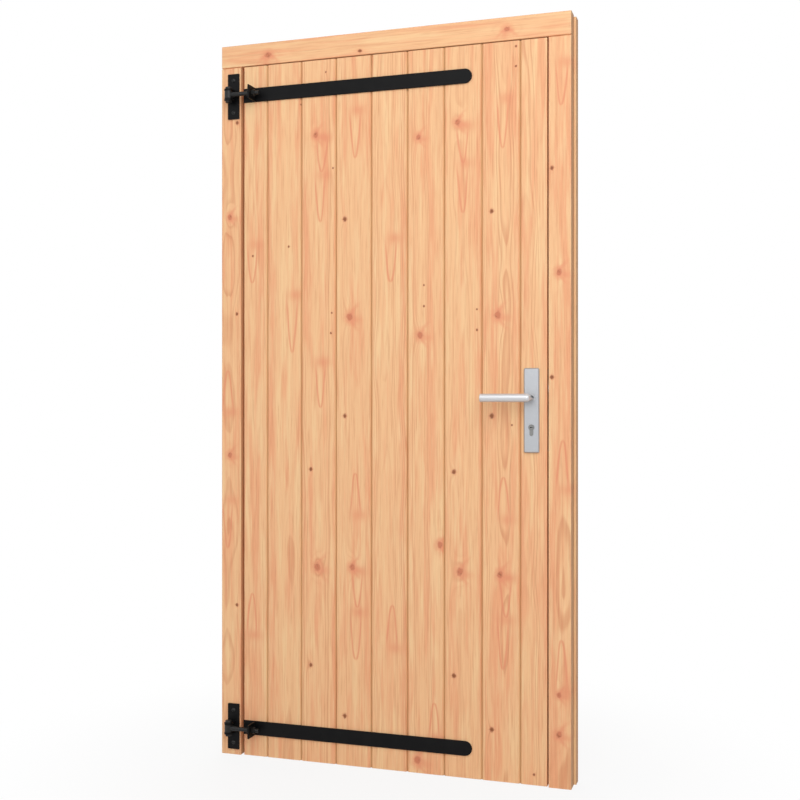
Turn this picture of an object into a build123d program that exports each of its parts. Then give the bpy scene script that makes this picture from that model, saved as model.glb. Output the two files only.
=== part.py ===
from build123d import *
import math
import os

# A ledged and braced board door in its rebated timber frame, with two adjustable strap hinges
# and a lever lock set. Millimetres. +Z is up, the outside of the door faces -Y and +X is to the
# right seen from outside. The origin lies on the floor, in the middle of the frame's width and
# in the middle of the leaf's thickness.

# General allowances
overrun = 1.0
screw_clearance = 0.1
seat_clearance = 0.15

# Timber frame
frame_width = 1090.0
frame_height = 2200.0
jamb_face = 65.0
head_face = 67.0
stop_depth = 33.0
stop_lap = 22.0
side_ledge = 7.0
back_drop = 4.0
timber_arris = 2.0
quirk_height = 3.0
quirk_depth = 6.0
fixing_radius = 5.0
fixing_inset = 300.0
corner_screw_radius = 4.0
corner_screw_length = 150.0
corner_head_radius = 7.5
corner_head_height = 5.0
corner_screw_spread = 22.0

# Leaf: boards on the outside, ledges and braces on the inside
board_thickness = 18.0
ledge_thickness = 25.0
leaf_recess = 2.0
hinge_gap = 10.5
lock_gap = 4.0
top_gap = 3.0
floor_gap = 1.5
stop_gap = 1.0
board_count = 9
hinge_board = 78.0
lock_board = 78.0
board_gap = 0.6
groove_chamfer = 4.5
edge_chamfer = 1.5
tongue_thickness = 6.0
tongue_length = 8.0
tongue_clearance = 0.25
stile_width = 95.0
rail_height = 145.0
middle_rail_level = 1070.0
brace_width = 95.0

# Strap hinges
strap_height = 42.5
strap_thickness = 5.0
strap_past_stud = 28.0
strap_head_inset = 89.0
strap_foot_inset = 86.5
strap_edge = 0.8
lug_place = 35.5
lug_thickness = 5.0
lug_reach = 47.0
lug_tip_height = 40.5
lug_corner = 4.0
stud_radius = 4.0
stud_count = 4
stud_hole_clearance = 0.5
stud_end = 3.0
washer_radius = 10.0
washer_thickness = 1.6
stud_nut_flats = 13.0
stud_nut_height = 6.5
pin_side = 36.0
pin_standoff = 26.0
pin_radius = 6.0
pin_fit = 0.06
pin_head_radius = 10.0
pin_head_height = 7.0
pin_head_round = 2.5
pin_nut_flats = 18.0
pin_nut_height = 6.0
pin_end = 1.5
eye_radius = 12.0
eye_height = 24.0
eye_play = 0.5
eye_edge = 1.0
neck_radius = 8.5
neck_length = 34.0
bolt_radius = 6.0
bolt_past_lug = 22.0
bolt_end_chamfer = 1.0
bolt_nut_flats = 18.0
bolt_nut_height = 10.0
ear_radius = 13.0
ear_thickness = 5.0
pintle_plate_width = 38.0
pintle_plate_height = 140.0
pintle_plate_thickness = 4.0
pintle_plate_corner = 1.5
pintle_screw_spread = 100.0
pintle_screw_radius = 3.0
pintle_screw_length = 50.0
pintle_dome_radius = 6.5
pintle_dome_height = 3.5

# Lock case and bolts in the leaf's edge
backset = 44.0
handle_level = 1106.0
key_drop = 84.0
case_behind_spindle = 28.0
case_above_spindle = 45.0
case_below_key = 35.0
case_thickness = 16.0
case_wall = 1.5
forend_width = 20.0
forend_height = 235.0
forend_thickness = 3.0
forend_screw_inset = 9.0
forend_screw_radius = 2.2
forend_screw_length = 30.0
forend_head_radius = 4.2
forend_head_height = 2.0
latch_rise = 26.0
latch_height = 20.0
latch_thickness = 11.0
latch_reach = 13.0
latch_nose = 2.0
latch_body_length = 17.0
latch_tail_width = 6.0
latch_tail_height = 5.0
latch_nib_width = 6.0
latch_nib_drop = 10.0
latch_guide_clearance = 0.4
spring_wire = 0.8
spring_turns = 6
spring_stop_width = 2.0
follower_radius = 10.0
follower_boss_radius = 8.0
follower_boss_fit = 0.08
follower_play = 0.2
arm_width = 6.0
arm_reach = 22.0
arm_clearance = 0.6
dead_bolt_rise = 32.0
dead_bolt_height = 22.0
dead_bolt_thickness = 11.0
dead_bolt_length = 48.0
dead_bolt_throw = 20.0
spindle_side = 8.0
spindle_clearance = 0.1
spindle_bore_radius = 10.5

# Key cylinder
barrel_radius = 8.5
barrel_height = 33.0
barrel_tail_width = 10.0
barrel_proud = 1.5
barrel_clearance = 0.3
plug_radius = 6.5
plug_fit = 0.06
plug_edge = 0.5
keyway_width = 2.6
keyway_height = 8.0
keyway_depth = 22.0
cam_reach = 14.5
cam_width = 9.0
cam_nose_width = 8.0
cam_clearance = 0.5
barrel_screw_radius = 2.5
barrel_screw_drop = 20.0
barrel_screw_past = 3.0

# Handle plates and levers
plate_width = 44.0
plate_height = 241.0
plate_depth = 8.0
plate_bevel = 2.5
plate_corner = 4.0
plate_wall = 2.2
plate_drop = 35.5
pillar_radius = 5.0
plate_bolt_radius = 2.5
plate_bolt_inset = 18.0
plate_bolt_grip = 3.0
plate_bolt_head_radius = 4.6
plate_bolt_head_height = 2.4
bush_radius = 10.0
bush_flange_radius = 11.5
bush_flange = 1.2
lever_radius = 12.0
lever_standoff = 50.0
lever_length = 138.0
lever_past_axis = 6.0
lever_end_round = 2.0
lever_heel_round = 9.0
lever_neck_radius = 7.0
lever_neck_round = 4.0
lever_neck_fit = 0.08
lever_gap = 0.4
lever_socket_depth = 32.0

# Strike in the lock jamb
strike_width = 24.0
strike_thickness = 2.0
strike_above_latch = 32.0
strike_below_bolt = 32.0
strike_hole_clearance = 2.0
strike_pocket_past = 6.0
strike_screw_inset = 11.0
strike_screw_radius = 2.2
strike_screw_length = 32.0
strike_head_radius = 4.2
strike_head_height = 1.6

# Places worked out from the sizes above
leaf_thickness = board_thickness + ledge_thickness
leaf_front = -leaf_thickness / 2
leaf_back = leaf_thickness / 2
board_back = leaf_front + board_thickness
frame_front = leaf_front - leaf_recess
stop_front = leaf_back + stop_gap
frame_back = stop_front + stop_depth
stop_middle = (stop_front + frame_back) / 2
frame_side = frame_width / 2
opening_side = frame_side - jamb_face
stop_side = opening_side - stop_lap
head_underside = frame_height - head_face
leaf_left = -opening_side + hinge_gap
leaf_right = opening_side - lock_gap
leaf_width = leaf_right - leaf_left
leaf_middle = (leaf_left + leaf_right) / 2
leaf_bottom = floor_gap
leaf_top = head_underside - top_gap
leaf_height = leaf_top - leaf_bottom
board_cover = (leaf_width - hinge_board - lock_board) / (board_count - 2)
board_joints = [leaf_left + hinge_board + step * board_cover for step in range(board_count - 1)]
board_edges = [leaf_left, *board_joints, leaf_right]

pin_x = -frame_side + pin_side
pin_y = frame_front - pin_standoff
strap_front = leaf_front - strap_thickness
lug_left = leaf_left + lug_place
lug_right = lug_left + lug_thickness
bolt_end = lug_right + bolt_past_lug
upper_hinge = leaf_top - strap_head_inset
lower_hinge = leaf_bottom + strap_foot_inset
hinge_levels = {"upper": upper_hinge, "lower": lower_hinge}
stud_board_edges = [board_edges[2 * step : 2 * step + 2] for step in range(stud_count)]
stud_places = [(left + right) / 2 for left, right in stud_board_edges]
strap_length = stud_places[-1] + strap_past_stud - leaf_left
stud_tip = leaf_back + washer_thickness + stud_nut_height + stud_end
ears_height = eye_height + 2 * (eye_play + ear_thickness)
pintle_front = frame_front - pintle_plate_thickness
pintle_left = pin_x - ear_radius
pintle_middle = pintle_left + pintle_plate_width / 2

spindle_x = leaf_right - backset
key_level = handle_level - key_drop
case_front = leaf_right - forend_thickness
case_rear = spindle_x - case_behind_spindle
case_top = handle_level + case_above_spindle
case_bottom = key_level - case_below_key
case_half = case_thickness / 2
inner_half = case_half - case_wall
latch_level = handle_level + latch_rise
bolt_level = key_level + dead_bolt_rise
latch_tip = leaf_right + latch_reach
latch_shoulder = case_front - latch_body_length
nib_right = spindle_x - arm_width / 2 - arm_clearance
nib_left = nib_right - latch_nib_width
tail_reach = math.hypot(latch_tail_width / 2, latch_tail_height / 2)
spring_radius = tail_reach + latch_guide_clearance + spring_wire / 2
spring_seat = spindle_x + arm_width / 2 + latch_guide_clearance + spring_stop_width
spring_start = spring_seat + spring_wire / 2 + latch_guide_clearance
spring_end = latch_shoulder - spring_wire / 2 - latch_guide_clearance
plate_middle = handle_level - plate_drop
forend_middle = plate_middle
barrel_half = leaf_thickness / 2 + plate_depth + barrel_proud
barrel_foot = key_level - barrel_height + barrel_radius
plate_bolt_levels = [
    plate_middle + plate_height / 2 - plate_bolt_inset,
    plate_middle - plate_height / 2 + plate_bolt_inset,
]
plate_front = leaf_front - plate_depth
lever_axis = plate_front - lever_standoff
neck_end = leaf_front - bush_flange
spindle_half = -neck_end + lever_socket_depth - lever_gap
strike_top = latch_level + strike_above_latch
strike_bottom = bolt_level - strike_below_bolt
strike_middle = (strike_top + strike_bottom) / 2


def facing_out(y):
    # Upright plane across the door at depth y, drawn as seen from outside
    return Plane((0, y, 0), x_dir=(1, 0, 0), z_dir=(0, -1, 0))


def facing_right(x):
    # Upright plane along the door's depth at width x, its normal towards +X
    return Plane((x, 0, 0), x_dir=(0, 1, 0), z_dir=(1, 0, 0))


def bored(x, y, z, direction):
    # Plane at a point whose normal runs along a hole
    return Plane((x, y, z), z_dir=direction)


def finish(builder, name):
    builder.part.label = name
    export_step(builder.part, f"parts/{name}.step")


def barrel_outline(grow):
    # Keyhole outline of a profile cylinder, grown all round by a clearance
    with BuildSketch(Plane.XY) as outline:
        with Locations((spindle_x, key_level)):
            Circle(barrel_radius + grow)
        tail = barrel_tail_width / 2 + grow
        with Locations((spindle_x, (key_level + barrel_foot) / 2 + barrel_tail_width / 4)):
            Rectangle(2 * tail, key_level - barrel_foot - barrel_tail_width / 2)
        with Locations((spindle_x, barrel_foot + barrel_tail_width / 2)):
            Circle(tail)
    return outline.sketch


def round_bar(plane, radius, length):
    with BuildSketch(plane) as section:
        Circle(radius)
    extrude(section.sketch, amount=length)


def round_cut(plane, radius, length):
    with BuildSketch(plane) as section:
        Circle(radius)
    extrude(section.sketch, amount=length, mode=Mode.SUBTRACT)


def countersunk_screw(plane, shank, length, head, sink):
    # The plane lies on the head's face and its normal points into the material
    with Locations(plane):
        Cone(head, shank, sink, align=(Align.CENTER, Align.CENTER, Align.MIN))
        Cylinder(shank, length, align=(Align.CENTER, Align.CENTER, Align.MIN))


def countersunk_cut(plane, shank, length, head, sink):
    with Locations(plane):
        Cone(head, shank, sink, align=(Align.CENTER, Align.CENTER, Align.MIN), mode=Mode.SUBTRACT)
        Cylinder(shank, length, align=(Align.CENTER, Align.CENTER, Align.MIN), mode=Mode.SUBTRACT)


def hex_nut(plane, flats, height, bore):
    with BuildSketch(plane) as section:
        RegularPolygon(flats / 2, 6, major_radius=False)
        Circle(bore, mode=Mode.SUBTRACT)
    extrude(section.sketch, amount=height)


os.makedirs("parts", exist_ok=True)

# Places of the frame's screws
corner_places = [
    (side * (frame_side - jamb_face / 2), (frame_front + stop_front) / 2 + step)
    for side in (-1, 1)
    for step in (-corner_screw_spread / 2, corner_screw_spread / 2)
]
fixing_levels = [fixing_inset, frame_height - fixing_inset]
pintle_screw_places = [
    (pintle_middle, level + step)
    for level in hinge_levels.values()
    for step in (-pintle_screw_spread / 2, pintle_screw_spread / 2)
]
strike_screw_levels = [strike_top - strike_screw_inset, strike_bottom + strike_screw_inset]


def corner_screw_bores():
    for x, y in corner_places:
        bore = corner_screw_radius + screw_clearance
        round_cut(bored(x, y, frame_height + overrun, (0, 0, -1)), bore, corner_screw_length + overrun)
        head = corner_head_radius + screw_clearance
        round_cut(bored(x, y, frame_height + overrun, (0, 0, -1)), head, corner_head_height + overrun)


def jamb_timber(side):
    # Front part up to the head's underside, back part with the stop and the outer ledge
    with BuildSketch(Plane.XY) as front_part:
        with Locations((side * (frame_side - jamb_face / 2), (frame_front + stop_front) / 2)):
            Rectangle(jamb_face, stop_front - frame_front)
    extrude(front_part.sketch, amount=head_underside)
    front_edges = edges().filter_by(Axis.Z).group_by(Axis.Y)[0]
    fillet(front_edges, timber_arris)
    # A quirk under the head marks the joint with a line of shadow
    with BuildSketch(facing_out(frame_front + quirk_depth)) as quirk:
        with Locations((side * (frame_side - jamb_face / 2), head_underside - quirk_height / 2)):
            Rectangle(jamb_face + 2 * overrun, quirk_height)
    extrude(quirk.sketch, amount=quirk_depth + overrun, mode=Mode.SUBTRACT)
    back_width = side_ledge + jamb_face + stop_lap
    with BuildSketch(Plane.XY) as back_part:
        with Locations((side * (frame_side + side_ledge - back_width / 2), stop_middle)):
            Rectangle(back_width, stop_depth)
    extrude(back_part.sketch, amount=frame_height - back_drop)
    for level in fixing_levels:
        start = bored(side * (stop_side - overrun), stop_middle, level, (side, 0, 0))
        round_cut(start, fixing_radius, back_width + 2 * overrun)
    corner_screw_bores()


with BuildPart() as hinge_jamb:
    jamb_timber(-1)
    for x, z in pintle_screw_places:
        start = bored(x, frame_front - overrun, z, (0, 1, 0))
        depth = pintle_screw_length - pintle_plate_thickness + overrun
        round_cut(start, pintle_screw_radius + screw_clearance, depth)
finish(hinge_jamb, "hinge_jamb")

# Latch and bolt pockets, as centre level, height and depth behind the jamb's inner face
latch_hole = latch_height + 2 * strike_hole_clearance
bolt_hole = dead_bolt_height + 2 * strike_hole_clearance
hole_width = max(latch_thickness, dead_bolt_thickness) + 2 * strike_hole_clearance
latch_pocket = latch_reach - lock_gap + strike_pocket_past
bolt_pocket = dead_bolt_throw - lock_gap + strike_pocket_past
strike_holes = [(latch_level, latch_hole, latch_pocket), (bolt_level, bolt_hole, bolt_pocket)]

with BuildPart() as lock_jamb:
    jamb_timber(1)
    with BuildSketch(facing_right(opening_side - overrun)):
        with Locations((0, strike_middle)):
            Rectangle(strike_width + 2 * seat_clearance, strike_top - strike_bottom + 2 * seat_clearance)
    extrude(amount=strike_thickness + overrun, mode=Mode.SUBTRACT)
    for level, height, depth in strike_holes:
        with BuildSketch(facing_right(opening_side)):
            with Locations((0, level)):
                Rectangle(hole_width, height)
        extrude(amount=depth, mode=Mode.SUBTRACT)
    for level in strike_screw_levels:
        start = bored(opening_side, 0, level, (1, 0, 0))
        round_cut(start, strike_screw_radius + screw_clearance, strike_screw_length)
finish(lock_jamb, "lock_jamb")

# The head lies on the jambs in front and fits between their back parts behind
with BuildPart() as head:
    with BuildSketch(facing_out(stop_front)):
        with Locations((0, frame_height - head_face / 2)):
            Rectangle(frame_width, head_face)
    extrude(amount=stop_front - frame_front)
    fillet(edges().group_by(Axis.Y)[0], timber_arris)
    with BuildSketch(facing_out(frame_back)):
        with Locations((0, (head_underside - stop_lap + frame_height - back_drop) / 2)):
            Rectangle(2 * stop_side, head_face + stop_lap - back_drop)
    extrude(amount=stop_depth)
    corner_screw_bores()
finish(head, "head")

with BuildPart() as frame_screws:
    for x, y in corner_places:
        round_bar(bored(x, y, frame_height, (0, 0, -1)), corner_screw_radius, corner_screw_length)
        round_bar(bored(x, y, frame_height, (0, 0, -1)), corner_head_radius, corner_head_height)
finish(frame_screws, "frame_screws")

with BuildPart() as strike_plate:
    with BuildSketch(facing_right(opening_side)):
        with Locations((0, strike_middle)):
            RectangleRounded(strike_width, strike_top - strike_bottom, strike_width / 6)
        for level, height, depth in strike_holes:
            with Locations((0, level)):
                Rectangle(hole_width, height, mode=Mode.SUBTRACT)
    extrude(amount=strike_thickness)
    for level in strike_screw_levels:
        start = bored(opening_side, 0, level, (1, 0, 0))
        sunk = strike_head_radius + screw_clearance
        bore = strike_screw_radius + screw_clearance
        countersunk_cut(start, bore, strike_thickness + overrun, sunk, strike_head_height)
finish(strike_plate, "strike_plate")

with BuildPart() as strike_screws:
    for level in strike_screw_levels:
        start = bored(opening_side, 0, level, (1, 0, 0))
        length = strike_screw_length - strike_thickness
        countersunk_screw(start, strike_screw_radius, length, strike_head_radius, strike_head_height)
finish(strike_screws, "strike_screws")

# Everything that passes through the leaf or is let into it, cut from whatever timber it meets
with BuildPart() as leaf_cuts:
    for level in hinge_levels.values():
        for x in stud_places:
            start = bored(x, leaf_front - overrun, level, (0, 1, 0))
            round_bar(start, stud_radius + stud_hole_clearance, leaf_thickness + 2 * overrun)
    with BuildSketch(facing_out(case_half + seat_clearance)):
        with Locations(((case_rear + leaf_right) / 2, (case_top + case_bottom) / 2)):
            width = leaf_right - case_rear + 2 * seat_clearance
            Rectangle(width, case_top - case_bottom + 2 * seat_clearance)
    extrude(amount=case_thickness + 2 * seat_clearance)
    with BuildSketch(facing_right(case_front)):
        with Locations((0, forend_middle)):
            Rectangle(forend_width + 2 * seat_clearance, forend_height + 2 * seat_clearance)
    extrude(amount=forend_thickness + overrun)
    round_bar(
        bored(spindle_x, leaf_front - overrun, handle_level, (0, 1, 0)),
        spindle_bore_radius,
        leaf_thickness + 2 * overrun,
    )
    with BuildSketch(facing_out(leaf_back + overrun)):
        add(barrel_outline(barrel_clearance))
    extrude(amount=leaf_thickness + 2 * overrun)
    for level in plate_bolt_levels:
        start = bored(spindle_x, leaf_front - overrun, level, (0, 1, 0))
        round_bar(start, pillar_radius + seat_clearance, leaf_thickness + 2 * overrun)
    for step in (-1, 1):
        level = forend_middle + step * (forend_height / 2 - forend_screw_inset)
        start = bored(leaf_right, 0, level, (-1, 0, 0))
        round_bar(start, forend_screw_radius + screw_clearance, forend_screw_length + overrun)


def board_outline(left, right, grooved, tongued):
    # Plan of one board: front chamfers, a groove on its left edge and a tongue on its right
    left_chamfer = groove_chamfer if grooved else edge_chamfer
    right_chamfer = groove_chamfer if tongued else edge_chamfer
    middle = (leaf_front + board_back) / 2
    points = [(left, board_back), (left, leaf_front + left_chamfer), (left + left_chamfer, leaf_front)]
    points += [(right - right_chamfer, leaf_front), (right, leaf_front + right_chamfer)]
    if tongued:
        reach = right + tongue_length
        half = tongue_thickness / 2
        points += [(right, middle - half), (reach, middle - half), (reach, middle + half)]
        points += [(right, middle + half)]
    points += [(right, board_back)]
    if grooved:
        depth = left + tongue_length - board_gap + tongue_clearance
        half = tongue_thickness / 2 + tongue_clearance
        points += [(left, board_back), (left, middle + half), (depth, middle + half)]
        points += [(depth, middle - half), (left, middle - half)]
        points = points[1:]
    return points


# Tongued and grooved boards, a cut one at each edge and full ones between
for number in range(board_count):
    first = number == 0
    last = number == board_count - 1
    left = board_edges[number] + (0 if first else board_gap / 2)
    right = board_edges[number + 1] - (0 if last else board_gap / 2)
    with BuildPart() as board:
        with BuildSketch(Plane.XY.offset(leaf_bottom)):
            with BuildLine():
                Polyline(*board_outline(left, right, not first, not last), close=True)
            make_face()
        extrude(amount=leaf_height)
        add(leaf_cuts.part, mode=Mode.SUBTRACT)
    finish(board, f"board_{number + 1}")

# Ledges behind the boards: two stiles and three rails
bottom_rail_level = leaf_bottom + rail_height / 2
top_rail_level = leaf_top - rail_height / 2
rail_length = leaf_width - 2 * stile_width
ledges = {
    "hinge_stile": (leaf_left + stile_width / 2, leaf_bottom + leaf_height / 2, stile_width, leaf_height),
    "lock_stile": (leaf_right - stile_width / 2, leaf_bottom + leaf_height / 2, stile_width, leaf_height),
    "bottom_rail": (leaf_middle, bottom_rail_level, rail_length, rail_height),
    "middle_rail": (leaf_middle, middle_rail_level, rail_length, rail_height),
    "top_rail": (leaf_middle, top_rail_level, rail_length, rail_height),
}
for name, (x, z, width, height) in ledges.items():
    with BuildPart() as ledge:
        with BuildSketch(facing_out(leaf_back)):
            with Locations((x, z)):
                Rectangle(width, height)
        extrude(amount=ledge_thickness)
        along = Axis.Z if height > width else Axis.X
        chamfer(edges().group_by(Axis.Y)[-1].filter_by(along), timber_arris)
        add(leaf_cuts.part, mode=Mode.SUBTRACT)
    finish(ledge, name)

# Braces rise from the hinge side, cut to fit the corners between rails and stiles
brace_fields = {
    "lower_brace": (bottom_rail_level + rail_height / 2, middle_rail_level - rail_height / 2),
    "upper_brace": (middle_rail_level + rail_height / 2, top_rail_level - rail_height / 2),
}
for name, (foot, crown) in brace_fields.items():
    diagonal = math.hypot(rail_length, crown - foot)
    rise = math.degrees(math.atan2(crown - foot, rail_length))
    with BuildPart() as brace:
        with BuildSketch(facing_out(leaf_back)):
            with Locations((leaf_middle, (foot + crown) / 2)):
                Rectangle(rail_length, crown - foot)
                Rectangle(diagonal, brace_width, rotation=rise, mode=Mode.INTERSECT)
        extrude(amount=ledge_thickness)
        longest = edges().group_by(Axis.Y)[-1].sort_by(SortBy.LENGTH)[-2:]
        chamfer(longest, timber_arris)
    finish(brace, name)

# Hinges: strap on the leaf, eye bolt through its lug, and pin between two ears on the jamb
for place, level in hinge_levels.items():
    with BuildPart() as strap:
        with BuildSketch(facing_out(leaf_front)):
            with Locations((leaf_left + (strap_length - strap_height / 2) / 2, level)):
                Rectangle(strap_length - strap_height / 2, strap_height)
            with Locations((leaf_left + strap_length - strap_height / 2, level)):
                Circle(strap_height / 2)
        extrude(amount=strap_thickness)
        chamfer(faces().sort_by(Axis.Y)[0].edges(), strap_edge)
        with BuildSketch(facing_right(lug_left)):
            with BuildLine():
                base = strap_height / 2 - strap_edge
                tip = lug_tip_height / 2
                Polyline(
                    (strap_front, level - base),
                    (strap_front - lug_reach, level - tip),
                    (strap_front - lug_reach, level + tip),
                    (strap_front, level + base),
                    close=True,
                )
            make_face()
            fillet(vertices().group_by(Axis.Y)[0], lug_corner)
            with Locations((pin_y, level)):
                Circle(bolt_radius + stud_hole_clearance, mode=Mode.SUBTRACT)
        extrude(amount=lug_thickness)
        for x in stud_places:
            round_bar(bored(x, leaf_front, level, (0, 1, 0)), stud_radius, stud_tip - leaf_front)
    finish(strap, f"{place}_strap")

    with BuildPart() as eye_bolt:
        with BuildSketch(Plane.XY.offset(level - eye_height / 2)):
            with Locations((pin_x, pin_y)):
                Circle(eye_radius)
        extrude(amount=eye_height)
        chamfer(edges().filter_by(GeomType.CIRCLE), eye_edge)
        with BuildSketch(facing_out(pin_y)):
            with BuildLine():
                Polyline(
                    (pin_x, level),
                    (pin_x, level + neck_radius),
                    (pin_x + eye_radius, level + neck_radius),
                    (pin_x + neck_length, level + bolt_radius),
                    (bolt_end - bolt_end_chamfer, level + bolt_radius),
                    (bolt_end, level + bolt_radius - bolt_end_chamfer),
                    (bolt_end, level),
                    close=True,
                )
            make_face()
        revolve(axis=Axis((pin_x, pin_y, level), (1, 0, 0)))
        round_cut(bored(pin_x, pin_y, level - eye_height, (0, 0, 1)), pin_radius + pin_fit, 2 * eye_height)
    finish(eye_bolt, f"{place}_eye_bolt")

    with BuildPart() as pintle_plate:
        with BuildSketch(facing_out(frame_front)):
            with Locations((pintle_middle, level)):
                RectangleRounded(pintle_plate_width, pintle_plate_height, pintle_plate_corner)
        extrude(amount=pintle_plate_thickness)
        for foot in (level - ears_height / 2, level + ears_height / 2 - ear_thickness):
            with BuildSketch(Plane.XY.offset(foot)):
                with Locations((pin_x, pin_y)):
                    Circle(ear_radius)
                with Locations((pin_x, (pin_y + pintle_front) / 2)):
                    Rectangle(2 * ear_radius, pintle_front - pin_y)
                with Locations((pin_x, pin_y)):
                    Circle(pin_radius + pin_fit, mode=Mode.SUBTRACT)
            extrude(amount=ear_thickness)
        for x, z in pintle_screw_places:
            start = bored(x, pintle_front - overrun, z, (0, 1, 0))
            bore = pintle_screw_radius + screw_clearance
            round_cut(start, bore, pintle_plate_thickness + 2 * overrun)
    finish(pintle_plate, f"{place}_pintle_plate")

    with BuildPart() as pintle_pin:
        top = level + ears_height / 2
        length = ears_height + pin_nut_height + pin_end
        round_bar(bored(pin_x, pin_y, top, (0, 0, -1)), pin_radius, length)
        round_bar(bored(pin_x, pin_y, top, (0, 0, 1)), pin_head_radius, pin_head_height)
        fillet(edges().group_by(Axis.Z)[-1], pin_head_round)
    finish(pintle_pin, f"{place}_pintle_pin")

with BuildPart() as pintle_nuts:
    for level in hinge_levels.values():
        under = bored(pin_x, pin_y, level - ears_height / 2, (0, 0, -1))
        hex_nut(under, pin_nut_flats, pin_nut_height, pin_radius + screw_clearance)
finish(pintle_nuts, "pintle_nuts")

with BuildPart() as pintle_screws:
    for x, z in pintle_screw_places:
        start = bored(x, pintle_front, z, (0, 1, 0))
        round_bar(start, pintle_screw_radius, pintle_screw_length - overrun)
        dome_sphere = (pintle_dome_radius**2 + pintle_dome_height**2) / (2 * pintle_dome_height)
        with BuildSketch(facing_right(x)):
            with BuildLine():
                Line((pintle_front, z), (pintle_front - pintle_dome_height, z))
                rim = (pintle_front, z + pintle_dome_radius)
                RadiusArc((pintle_front - pintle_dome_height, z), rim, dome_sphere)
                Line(rim, (pintle_front, z))
            make_face()
        revolve(axis=Axis((x, pintle_front, z), (0, 1, 0)))
finish(pintle_screws, "pintle_screws")

with BuildPart() as eye_bolt_nuts:
    for level in hinge_levels.values():
        bore = bolt_radius + screw_clearance
        hex_nut(bored(lug_right, pin_y, level, (1, 0, 0)), bolt_nut_flats, bolt_nut_height, bore)
        hex_nut(bored(lug_left, pin_y, level, (-1, 0, 0)), bolt_nut_flats, bolt_nut_height, bore)
finish(eye_bolt_nuts, "eye_bolt_nuts")

with BuildPart() as strap_washers:
    for level in hinge_levels.values():
        for x in stud_places:
            with BuildSketch(bored(x, leaf_back, level, (0, 1, 0))):
                Circle(washer_radius)
                Circle(stud_radius + screw_clearance, mode=Mode.SUBTRACT)
            extrude(amount=washer_thickness)
finish(strap_washers, "strap_washers")

with BuildPart() as strap_nuts:
    for level in hinge_levels.values():
        for x in stud_places:
            start = bored(x, leaf_back + washer_thickness, level, (0, 1, 0))
            hex_nut(start, stud_nut_flats, stud_nut_height, stud_radius + screw_clearance)
finish(strap_nuts, "strap_nuts")


case_middle = (case_top + case_bottom) / 2
case_width = case_front - case_rear
with BuildPart() as lock_case:
    with BuildSketch(facing_out(inner_half)):
        with Locations(((case_rear + case_front) / 2, case_middle)):
            Rectangle(case_width, case_top - case_bottom)
    extrude(amount=inner_half + case_half)
    with BuildSketch(facing_out(inner_half)):
        with Locations(((case_rear + case_front + case_wall) / 2, case_middle)):
            Rectangle(case_width - case_wall, case_top - case_bottom - 2 * case_wall)
    extrude(amount=2 * inner_half, mode=Mode.SUBTRACT)
    with BuildSketch(facing_out(-inner_half)):
        with Locations((spring_seat - spring_stop_width / 2, latch_level)):
            Rectangle(spring_stop_width, latch_height)
    extrude(amount=-(inner_half - latch_tail_width / 2 - latch_guide_clearance))
    with BuildSketch(facing_out(-inner_half)):
        with Locations((spindle_x, handle_level)):
            Circle(follower_boss_radius + follower_boss_fit)
        add(barrel_outline(barrel_clearance))
    extrude(amount=case_wall + overrun, mode=Mode.SUBTRACT)
finish(lock_case, "lock_case")

with BuildPart() as lock_cover:
    with BuildSketch(facing_out(case_half)):
        with Locations(((case_rear + case_front) / 2, case_middle)):
            Rectangle(case_width, case_top - case_bottom)
        with Locations((spindle_x, handle_level)):
            Circle(follower_boss_radius + follower_boss_fit, mode=Mode.SUBTRACT)
        add(barrel_outline(barrel_clearance), mode=Mode.SUBTRACT)
    extrude(amount=case_wall)
finish(lock_cover, "lock_cover")

forend_screw_levels = [
    forend_middle + step * (forend_height / 2 - forend_screw_inset) for step in (-1, 1)
]
barrel_screw_level = key_level - barrel_screw_drop
with BuildPart() as lock_forend:
    with BuildSketch(facing_right(case_front)):
        with Locations((0, forend_middle)):
            Rectangle(forend_width, forend_height)
        with Locations((0, latch_level)):
            width = latch_thickness + 2 * latch_guide_clearance
            Rectangle(width, latch_height + 2 * latch_guide_clearance, mode=Mode.SUBTRACT)
        with Locations((0, bolt_level)):
            width = dead_bolt_thickness + 2 * latch_guide_clearance
            Rectangle(width, dead_bolt_height + 2 * latch_guide_clearance, mode=Mode.SUBTRACT)
    extrude(amount=forend_thickness)
    sunk = forend_head_radius + screw_clearance
    for level in forend_screw_levels:
        start = bored(leaf_right, 0, level, (-1, 0, 0))
        bore = forend_screw_radius + screw_clearance
        countersunk_cut(start, bore, forend_thickness + overrun, sunk, forend_head_height)
    start = bored(leaf_right, 0, barrel_screw_level, (-1, 0, 0))
    bore = barrel_screw_radius + screw_clearance
    countersunk_cut(start, bore, forend_thickness + overrun, sunk, forend_head_height)
finish(lock_forend, "lock_forend")

with BuildPart() as forend_screws:
    for level in forend_screw_levels:
        start = bored(leaf_right, 0, level, (-1, 0, 0))
        shank = forend_screw_radius
        countersunk_screw(start, shank, forend_screw_length, forend_head_radius, forend_head_height)
finish(forend_screws, "forend_screws")

barrel_screw_length = backset + barrel_screw_past
with BuildPart() as cylinder_screw:
    start = bored(leaf_right, 0, barrel_screw_level, (-1, 0, 0))
    shank = barrel_screw_radius
    countersunk_screw(start, shank, barrel_screw_length, forend_head_radius, forend_head_height)
finish(cylinder_screw, "cylinder_screw")

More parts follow.
